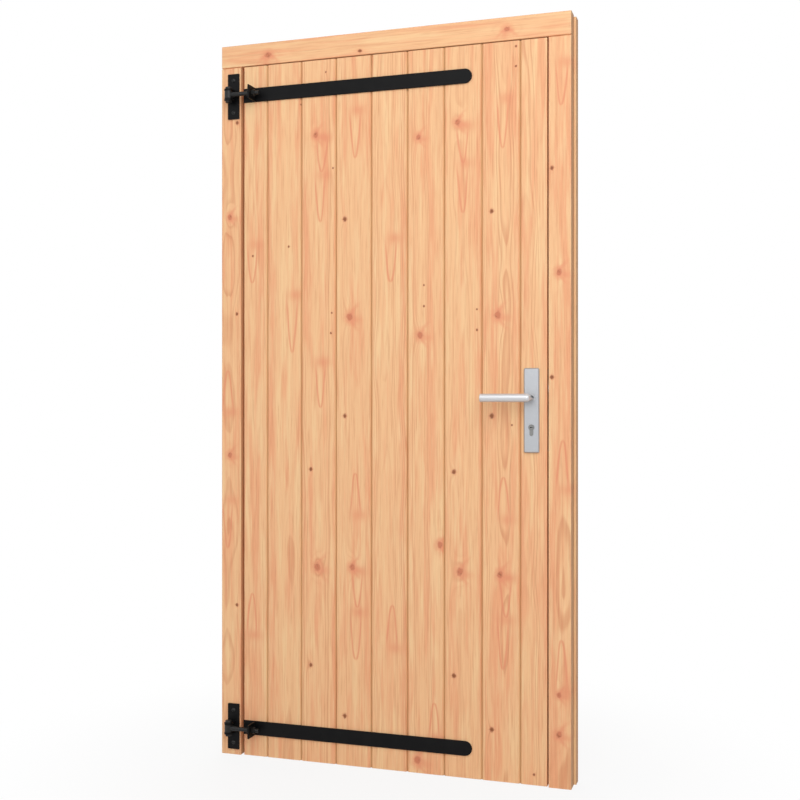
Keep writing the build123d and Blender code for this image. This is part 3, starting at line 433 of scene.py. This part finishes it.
def metalPaint(name, metal):
    paint = Paint(bpy.data.materials.new(name))
    x, y, z, spot = paint.place()
    bx, by, bz = metal["brush"]
    strokes = paint.noise(paint.vector(x * bx, y * by, z * bz), 1.0, 3.0, 0.6)
    mottle = paint.noise(spot, 0.12, 3.0)
    colour = paint.mix(strokes * 0.4 + mottle * 0.4, metal["colour"], metal["dark"])
    roughness = metal["rough"] + strokes * 0.12 + mottle * 0.06
    return paint.surface(colour, roughness, strokes, 0.00002, Metallic=metal.get("metallic", 1.0))


# Moulded nylon of the lever bushes
nylon = {"colour": tone(176, 178, 181), "grain": 2.2}


def nylonPaint(name):
    paint = Paint(bpy.data.materials.new(name))
    x, y, z, spot = paint.place()
    grain = paint.noise(spot, nylon["grain"], 2.0)
    colour = paint.scaled(nylon["colour"], 0.92 + grain * 0.16)
    return paint.surface(colour, 0.45 + grain * 0.1, grain, 0.00003)


# which nodes take which finish
finishes = {
    "black_steel": ["upper_pintle_plate", "lower_pintle_plate", "upper_strap", "lower_strap"],
    "black_bolts": ["upper_pintle_pin", "lower_pintle_pin", "pintle_nuts", "pintle_screws", "upper_eye_bolt",
                    "lower_eye_bolt", "eye_bolt_nuts"],
    "satin_aluminium": ["outside_plate", "inside_plate"],
    "polished_aluminium": ["outside_lever", "inside_lever"],
    "nickel_brass": ["cylinder_barrel", "outside_plug", "inside_plug", "cylinder_cam"],
    "grey_nylon": ["outside_bush", "inside_bush"],
    "zinc_steel": [],
}
placed = {name for group in finishes.values() for name in group} | set(timbers)
finishes["zinc_steel"] = sorted(set(nodes) - placed)
skins = {slot: metalPaint(slot, metal) for slot, metal in metals.items()}
skins.update({name: coatPaint(name, coat) for name, coat in coats.items()})
skins["grey_nylon"] = nylonPaint("grey_nylon")
for slot, names in finishes.items():
    for name in names:
        nodes[name].data.materials.clear()
        nodes[name].data.materials.append(skins[slot])
    print(slot, "on", len(names), "nodes")


# New pieces are grids of points, rings by steps round the ring, closed by a flat cap at each end
roundSteps = 48
theta = np.linspace(0, 2 * math.pi, roundSteps, endpoint=False)


def gridPiece(name, grids, body, slot, instead=(), skin=None):
    points, faces = [], []
    for grid in grids:
        base = sum(len(p) for p in points)
        rings, steps = grid.shape[:2]
        step = np.arange(steps)
        after = (step + 1) % steps
        for row in range(rings - 1):
            here, there = base + row * steps, base + (row + 1) * steps
            faces += np.stack([here + step, here + after, there + after, there + step], 1).tolist()
        faces.append((base + step[::-1]).tolist())
        faces.append((base + (rings - 1) * steps + step).tolist())
        points.append(grid.reshape(-1, 3) / 1000)
    mesh = bpy.data.meshes.new(name)
    mesh.from_pydata(np.concatenate(points).tolist(), [], faces)
    mesh.polygons.foreach_set("use_smooth", [True] * len(faces))
    mesh.set_sharp_from_angle(angle=math.radians(32))
    mesh.materials.append(skins[skin or slot])
    piece = bpy.data.objects.new(name, mesh)
    bpy.context.scene.collection.objects.link(piece)
    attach(piece, body)
    if instead:
        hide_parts(*instead)
    return piece


def turned(name, rings, spots, aim, body, slot, instead=(), skin=None):
    # each ring is a radius and a reach along the axis; both may vary round the axis
    aim = np.array(aim, float)
    first = np.cross(aim, (0.3, 0.5, 0.8))
    first = first / np.linalg.norm(first)
    second = np.cross(aim, first)
    radius = np.array([np.broadcast_to(r, roundSteps) for r, a in rings])[..., None]
    reach = np.array([np.broadcast_to(a, roundSteps) for r, a in rings])[..., None]
    circle = np.cos(theta)[:, None] * first + np.sin(theta)[:, None] * second
    one = radius * circle + reach * aim
    return gridPiece(name, [one + np.array(spot, float) for spot in spots], body, slot, instead, skin)


def screwRings(screw):
    # From the floor of a six-lobed socket up its wall, over the head, down the shank to the point.
    # Socket radius = socket * (1 + cos(6 theta) / 8); a dome of height h is part of a sphere
    lobes = screw["socket"] * (1 + np.cos(6 * theta) / 8)
    head, dome = screw["head"], screw["dome"]
    sphere = (head ** 2 + dome ** 2) / (2 * dome)

    def crown(r):
        return sphere - dome - np.sqrt(sphere ** 2 - r ** 2)

    rings = [(lobes * 0.85, screw["deep"] - dome), (lobes, crown(lobes))]
    for share in (0.25, 0.5, 0.75, 0.92, 1.0):
        r = lobes * (1 - share) + head * share
        rings.append((r, crown(np.minimum(r, head))))
    shank, length = screw["shank"], screw["length"]
    return rings + [(shank, screw["sink"]), (shank, length - 2 * shank), (shank * 0.2, length)]


def threadRings(thread):
    # Radius = core + ridge * triangle wave of (reach / pitch - theta / turn), fading at both ends
    core, pitch = thread["core"], thread["pitch"]
    start, end = thread["start"], thread["end"]
    rings = [(core * 0.8, start)]
    for reach in np.linspace(start, end, int((end - start) / pitch * 6) + 1):
        phase = (reach / pitch - theta / (2 * math.pi)) % 1
        fade = min(1.0, (reach - start) / pitch, (end - reach) / pitch)
        rings.append((core + thread["ridge"] * fade * (1 - np.abs(2 * phase - 1)), reach))
    return rings + [(core * 0.8, end)]


def millimetres(node):
    low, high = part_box(node)
    return 1000 * np.array(low), 1000 * np.array(high)


# Dome screws of the hinge plates
pintleScrew = {"head": 6.5, "dome": 3.5, "socket": 2.3, "deep": 2.6, "sink": 0.0, "shank": 3.0,
               "length": 49.0, "spread": 50}
low, high = millimetres("pintle_screws")
pintleX = (low[0] + high[0]) / 2
spots = []
for place in ("upper", "lower"):
    plateLow, plateHigh = millimetres(place + "_pintle_plate")
    plateZ = (plateLow[2] + plateHigh[2]) / 2
    for step in (-pintleScrew["spread"], pintleScrew["spread"]):
        spots.append((pintleX, low[1] + pintleScrew["dome"], plateZ + step))
turned("pintleScrews", screwRings(pintleScrew), spots, (0, 1, 0), "frame", "black_steel", ["pintle_screws"],
       "black_bolts")

# Screws through the head into the jambs
frameScrew = {"head": 7.5, "dome": 0.2, "socket": 3.2, "deep": 3.0, "sink": 5.0, "shank": 4.0,
              "length": 150.0}
low, high = millimetres("frame_screws")
head = frameScrew["head"]
spots = [(x, y, high[2]) for x in (low[0] + head, high[0] - head) for y in (low[1] + head, high[1] - head)]
turned("frameScrews", screwRings(frameScrew), spots, (0, 0, -1), "frame", "zinc_steel", ["frame_screws"])

# Countersunk screws of the lock's front plate, of its keep, of the cylinder and of the inside handle plate
lockScrew = {"head": 4.2, "dome": 0.15, "socket": 1.5, "deep": 1.4, "sink": 2.0, "shank": 2.2, "length": 30.0}
head = lockScrew["head"]
low, high = millimetres("forend_screws")
spots = [(high[0], 0, low[2] + head), (high[0], 0, high[2] - head)]
turned("forendScrews", screwRings(lockScrew), spots, (-1, 0, 0), "leaf", "zinc_steel", ["forend_screws"])
low, high = millimetres("strike_screws")
spots = [(low[0], 0, low[2] + head), (low[0], 0, high[2] - head)]
turned("strikeScrews", screwRings(lockScrew), spots, (1, 0, 0), "frame", "zinc_steel", ["strike_screws"])
low, high = millimetres("cylinder_screw")
longScrew = dict(lockScrew, shank=2.5, length=float(high[0] - low[0]))
spots = [(high[0], 0, (low[2] + high[2]) / 2)]
turned("cylinderScrew", screwRings(longScrew), spots, (-1, 0, 0), "leaf", "zinc_steel", ["cylinder_screw"])
low, high = millimetres("plate_bolts")
plateBolt = {"head": 4.6, "dome": 0.15, "socket": 1.7, "deep": 1.6, "sink": 2.4, "shank": 2.5,
             "length": float(high[1] - low[1])}
boltX, head = (low[0] + high[0]) / 2, plateBolt["head"]
spots = [(boltX, high[1], low[2] + head), (boltX, high[1], high[2] - head)]
turned("plateBolts", screwRings(plateBolt), spots, (0, -1, 0), "leaf", "zinc_steel", ["plate_bolts"])

# Screws that hold the boards on the ledges, from behind; the heads stand a little proud of the timber
ledgeScrew = {"head": 4.4, "dome": 0.45, "socket": 1.7, "deep": 1.6, "sink": 2.6, "shank": 2.2,
              "length": 34.0, "railInset": 27, "stileInset": 230, "stileCount": 8, "zigzag": 22,
              "plateMargin": 12}
boardMiddles = {}
for k in range(1, 10):
    low, high = millimetres("board_%d" % k)
    boardMiddles[k] = (low[0] + high[0]) / 2
ledgeSpots = []
for rail in ("top_rail", "middle_rail", "bottom_rail"):
    low, high = millimetres(rail)
    inset = ledgeScrew["railInset"]
    for k in range(2, 9):
        for level in (low[2] + inset, high[2] - inset):
            ledgeSpots.append((boardMiddles[k], high[1], level))
for brace in ("upper_brace", "lower_brace"):
    low, high = millimetres(brace)
    rise = math.tan(timbers[brace]["turn"])
    for k in range(3, 8):
        level = (low[2] + high[2]) / 2 + (boardMiddles[k] - (low[0] + high[0]) / 2) * rise
        ledgeSpots.append((boardMiddles[k], high[1], level))
plateLow, plateHigh = millimetres("inside_plate")
for stile in ("hinge_stile", "lock_stile"):
    low, high = millimetres(stile)
    inset, margin = ledgeScrew["stileInset"], ledgeScrew["plateMargin"]
    for k, level in enumerate(np.linspace(low[2] + inset, high[2] - inset, ledgeScrew["stileCount"])):
        x = (low[0] + high[0]) / 2 + ledgeScrew["zigzag"] * (1 if k % 2 else -1)
        if stile == "hinge_stile" or level < plateLow[2] - margin or level > plateHigh[2] + margin:
            ledgeSpots.append((x, high[1], level))
turned("ledgeScrews", screwRings(ledgeScrew), ledgeSpots, (0, -1, 0), "leaf", "zinc_steel", skin="dull_zinc")

# Threads of the hinge's eye bolts, and of the studs behind their nuts
eyeThread = {"core": 5.95, "ridge": 0.45, "pitch": 1.75, "start": 47.0, "chamfer": 1.2}
for place in ("upper", "lower"):
    low, high = millimetres(place + "_eye_bolt")
    middle = (low + high) / 2
    eyeThread["end"] = float(high[0] - low[0]) - eyeThread["chamfer"]
    spot = (low[0], middle[1], middle[2])
    turned(place + "EyeThread", threadRings(eyeThread), [spot], (1, 0, 0), "leaf", "black_steel",
           skin="black_bolts")
studThread = {"core": 3.95, "ridge": 0.4, "pitch": 1.25, "start": -0.5, "end": 2.7, "nutHalf": 6.5}
nutLow, nutHigh = millimetres("strap_nuts")
cover = boardMiddles[3] - boardMiddles[2]
firstStud, lastStud = nutLow[0] + studThread["nutHalf"], nutHigh[0] - studThread["nutHalf"]
spots = []
for place in ("upper", "lower"):
    low, high = millimetres(place + "_strap")
    for x in (firstStud, lastStud - 4 * cover, lastStud - 2 * cover, lastStud):
        spots.append((x, nutHigh[1], (low[2] + high[2]) / 2))
turned("studThreads", threadRings(studThread), spots, (0, 1, 0), "leaf", "black_steel")

# Latch spring: a round wire on a helix about X, which moves with the latch as one rigid piece
spring = {"turns": 6, "wire": 0.8, "travel": 13.05, "steps": 14, "stepsPerTurn": 24}
low, high = millimetres("latch_spring")
middle = (low + high) / 2
thick = spring["wire"] / 2
coil = (high[2] - low[2]) / 2 - thick
turnSteps = spring["turns"] * spring["stepsPerTurn"] + 1
turn = np.linspace(0, 2 * math.pi * spring["turns"], turnSteps)[:, None, None]
phi = np.linspace(0, 2 * math.pi, spring["steps"], endpoint=False)[None, :, None]
climb = (high[0] - low[0] - spring["wire"]) / turn[-1, 0, 0]
cosine, sine = np.cos(turn), np.sin(turn)
path = np.concatenate([low[0] + thick + climb * turn, middle[1] + coil * cosine, middle[2] + coil * sine], 2)
outward = np.concatenate([0 * turn, cosine, sine], 2)
ahead = np.concatenate([0 * turn + climb, -coil * sine, coil * cosine], 2)
ahead = ahead / np.linalg.norm(ahead, axis=2, keepdims=True)
wire = path + thick * (np.cos(phi) * outward + np.sin(phi) * np.cross(ahead, outward))
coils = gridPiece("latchSpring", [wire], "latch", "zinc_steel", ["latch_spring"])
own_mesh(coils)
print("fasteners done,", len(ledgeSpots), "ledge screws")


# Studio: a pale floor that fades into a white surround, a soft lamp in front, one behind and a weak one
studio = {
    "floorSize": 30.0,
    "floorTone": (0.7, 0.7, 0.7, 1.0),
    "poolStart": 0.3,
    "poolEnd": 1.4,
    "poolShare": 0.14,
    "surround": 0.4,
    "key": {"from": (1.3, -3.3, 3.0), "at": (0.1, 0.0, 1.2), "size": 4.6, "power": 120},
    "back": {"from": (-1.2, 3.6, 2.8), "at": (0.0, 0.0, 1.2), "size": 4.0, "power": 85},
    "fill": {"from": (-3.4, -3.0, 2.6), "at": (0.0, 0.0, 1.2), "size": 2.4, "power": 17},
}


def seen(paint):
    # 1 for what the eye, a reflection or a pane of glass sees, 0 for light that only shines on things
    rays = paint.node("ShaderNodeLightPath", None, None, "Is Camera Ray")
    most = paint.math("MAXIMUM", rays, rays.other("Is Glossy Ray"))
    return paint.math("MAXIMUM", most, rays.other("Is Transmission Ray"))


def studioFloor():
    side = studio["floorSize"] / 2
    mesh = bpy.data.meshes.new("floor")
    corners = [(-side, -side, 0), (side, -side, 0), (side, side, 0), (-side, side, 0)]
    mesh.from_pydata(corners, [], [(0, 1, 2, 3)])
    floor = bpy.data.objects.new("floor", mesh)
    bpy.context.scene.collection.objects.link(floor)
    paint = Paint(bpy.data.materials.new("floor"))
    x, y, z, spot = paint.place()
    reach = (x * x + y * y) ** 0.5 / 1000
    pool = 1 - paint.smooth(reach, studio["poolStart"], studio["poolEnd"])
    matt = paint.node("ShaderNodeBsdfDiffuse", None, {"Color": studio["floorTone"]})
    white = paint.node("ShaderNodeEmission", None, {"Color": (1, 1, 1, 1), "Strength": 1.0})
    share = seen(paint) * (1 - pool * studio["poolShare"])
    surface = paint.node("ShaderNodeMixShader", None, {0: share, 1: matt, 2: white})
    paint.node("ShaderNodeOutputMaterial", None, {"Surface": surface})
    mesh.materials.append(paint.owner)


def softLamp(name, lamp):
    light = bpy.data.lights.new(name, "AREA")
    light.shape = "DISK"
    light.size = lamp["size"]
    light.energy = lamp["power"]
    holder = bpy.data.objects.new(name, light)
    bpy.context.scene.collection.objects.link(holder)
    start, end = np.array(lamp["from"]), np.array(lamp["at"])
    aim = (end - start) / np.linalg.norm(end - start)
    holder.location = lamp["from"]
    holder.rotation_euler = (math.acos(-aim[2]), 0.0, math.atan2(-aim[0], aim[1]))


def surroundings():
    world = bpy.data.worlds.new("surround")
    bpy.context.scene.world = world
    paint = Paint(world)
    strength = studio["surround"] + seen(paint) * (1 - studio["surround"])
    shade = paint.node("ShaderNodeBackground", None, {"Color": (1, 1, 1, 1), "Strength": strength})
    paint.node("ShaderNodeOutputWorld", None, {"Surface": shade})


studioFloor()
surroundings()
softLamp("key", studio["key"])
softLamp("fill", studio["fill"])
softLamp("back", studio["back"])
print("studio done")

# Camera at the height of the door's middle, to the right of it, level
view = {"spot": (1.034, -3.1565, 1.1), "turn": math.atan2(0.3030, 0.9530), "lens": 50.0, "sensor": 36.0}
lens = bpy.data.cameras.new("camera")
lens.lens = view["lens"]
lens.sensor_width = view["sensor"]
camera = bpy.data.objects.new("camera", lens)
bpy.context.scene.collection.objects.link(camera)
camera.location = view["spot"]
camera.rotation_euler = (math.pi / 2, 0.0, view["turn"])
bpy.context.scene.camera = camera
bpy.context.scene.view_settings.view_transform = "Standard"
print("camera done")
